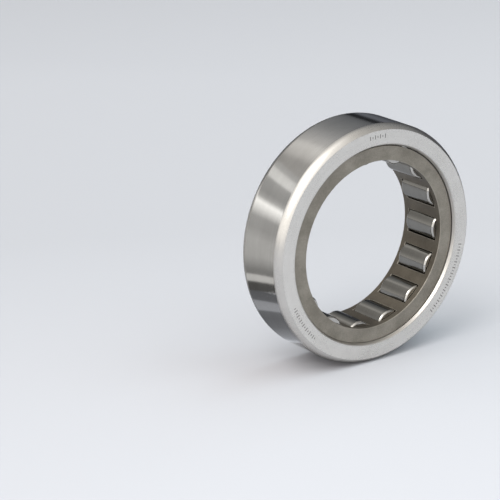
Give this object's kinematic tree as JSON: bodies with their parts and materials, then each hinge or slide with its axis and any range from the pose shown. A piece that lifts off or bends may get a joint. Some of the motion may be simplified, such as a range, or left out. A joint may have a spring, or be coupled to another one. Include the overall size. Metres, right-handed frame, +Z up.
{
  "type": "cylindrical roller bearing",
  "caption": "Cylindrical roller bearing without an inner ring: a two-ribbed outer ring, a window cage and parallel rollers that run directly on a hardened shaft.",
  "frame": {"origin": "centre of the bearing: on its axis, midway between the two faces", "axes": "+Y along the bearing axis toward the rear face, the front face looks toward -Y, +Z up as the ring stands on its rim, +X to the right seen from the front"},
  "size_m": [0.09, 0.023, 0.09],
  "materials": {
    "ring_steel": "ground, turned grain on the faces, bright rounded corners",
    "cage_steel": "matte grey-brown surface-treated steel",
    "roller_steel": "superfinished, near mirror"
  },
  "bodies": {
    "outer_ring": {"outer_ring": "ring_steel"},
    "cage": {"cage": "cage_steel"},
    "roller_01": {"roller_01": "roller_steel"},
    "roller_02": {"roller_02": "roller_steel"},
    "roller_03": {"roller_03": "roller_steel"},
    "roller_04": {"roller_04": "roller_steel"},
    "roller_05": {"roller_05": "roller_steel"},
    "roller_06": {"roller_06": "roller_steel"},
    "roller_07": {"roller_07": "roller_steel"},
    "roller_08": {"roller_08": "roller_steel"},
    "roller_09": {"roller_09": "roller_steel"},
    "roller_10": {"roller_10": "roller_steel"},
    "roller_11": {"roller_11": "roller_steel"},
    "roller_12": {"roller_12": "roller_steel"},
    "roller_13": {"roller_13": "roller_steel"},
    "roller_14": {"roller_14": "roller_steel"},
    "roller_15": {"roller_15": "roller_steel"}
  },
  "joints": [
    {"name": "cage_spin", "type": "hinge", "parent": "outer_ring", "child": "cage", "pos_m": [0, 0, 0], "axis": [0, 1, 0], "continuous": true},
    {"name": "roller_01_spin", "type": "hinge", "parent": "cage", "child": "roller_01", "pos_m": [0.03524, 0, -0.00092], "axis": [0, 1, 0], "continuous": true},
    {"name": "roller_02_spin", "type": "hinge", "parent": "cage", "child": "roller_02", "pos_m": [0.03257, 0, 0.01349], "axis": [0, 1, 0], "continuous": true},
    {"name": "roller_03_spin", "type": "hinge", "parent": "cage", "child": "roller_03", "pos_m": [0.02426, 0, 0.02557], "axis": [0, 1, 0], "continuous": true},
    {"name": "roller_04_spin", "type": "hinge", "parent": "cage", "child": "roller_04", "pos_m": [0.01177, 0, 0.03323], "axis": [0, 1, 0], "continuous": true},
    {"name": "roller_05_spin", "type": "hinge", "parent": "cage", "child": "roller_05", "pos_m": [-0.00277, 0, 0.03514], "axis": [0, 1, 0], "continuous": true},
    {"name": "roller_06_spin", "type": "hinge", "parent": "cage", "child": "roller_06", "pos_m": [-0.01682, 0, 0.03098], "axis": [0, 1, 0], "continuous": true},
    {"name": "roller_07_spin", "type": "hinge", "parent": "cage", "child": "roller_07", "pos_m": [-0.02797, 0, 0.02146], "axis": [0, 1, 0], "continuous": true},
    {"name": "roller_08_spin", "type": "hinge", "parent": "cage", "child": "roller_08", "pos_m": [-0.03428, 0, 0.00823], "axis": [0, 1, 0], "continuous": true},
    {"name": "roller_09_spin", "type": "hinge", "parent": "cage", "child": "roller_09", "pos_m": [-0.03466, 0, -0.00642], "axis": [0, 1, 0], "continuous": true},
    {"name": "roller_10_spin", "type": "hinge", "parent": "cage", "child": "roller_10", "pos_m": [-0.02905, 0, -0.01997], "axis": [0, 1, 0], "continuous": true},
    {"name": "roller_11_spin", "type": "hinge", "parent": "cage", "child": "roller_11", "pos_m": [-0.01842, 0, -0.03006], "axis": [0, 1, 0], "continuous": true},
    {"name": "roller_12_spin", "type": "hinge", "parent": "cage", "child": "roller_12", "pos_m": [-0.0046, 0, -0.03495], "axis": [0, 1, 0], "continuous": true},
    {"name": "roller_13_spin", "type": "hinge", "parent": "cage", "child": "roller_13", "pos_m": [0.01001, 0, -0.0338], "axis": [0, 1, 0], "continuous": true},
    {"name": "roller_14_spin", "type": "hinge", "parent": "cage", "child": "roller_14", "pos_m": [0.02289, 0, -0.0268], "axis": [0, 1, 0], "continuous": true},
    {"name": "roller_15_spin", "type": "hinge", "parent": "cage", "child": "roller_15", "pos_m": [0.03182, 0, -0.01518], "axis": [0, 1, 0], "continuous": true}
  ],
  "couplings": [
    {"joint": "roller_01_spin", "follows": "cage_spin", "ratio": -7.4091},
    {"joint": "roller_02_spin", "follows": "cage_spin", "ratio": -7.4091},
    {"joint": "roller_03_spin", "follows": "cage_spin", "ratio": -7.4091},
    {"joint": "roller_04_spin", "follows": "cage_spin", "ratio": -7.4091},
    {"joint": "roller_05_spin", "follows": "cage_spin", "ratio": -7.4091},
    {"joint": "roller_06_spin", "follows": "cage_spin", "ratio": -7.4091},
    {"joint": "roller_07_spin", "follows": "cage_spin", "ratio": -7.4091},
    {"joint": "roller_08_spin", "follows": "cage_spin", "ratio": -7.4091},
    {"joint": "roller_09_spin", "follows": "cage_spin", "ratio": -7.4091},
    {"joint": "roller_10_spin", "follows": "cage_spin", "ratio": -7.4091},
    {"joint": "roller_11_spin", "follows": "cage_spin", "ratio": -7.4091},
    {"joint": "roller_12_spin", "follows": "cage_spin", "ratio": -7.4091},
    {"joint": "roller_13_spin", "follows": "cage_spin", "ratio": -7.4091},
    {"joint": "roller_14_spin", "follows": "cage_spin", "ratio": -7.4091},
    {"joint": "roller_15_spin", "follows": "cage_spin", "ratio": -7.4091}
  ]
}
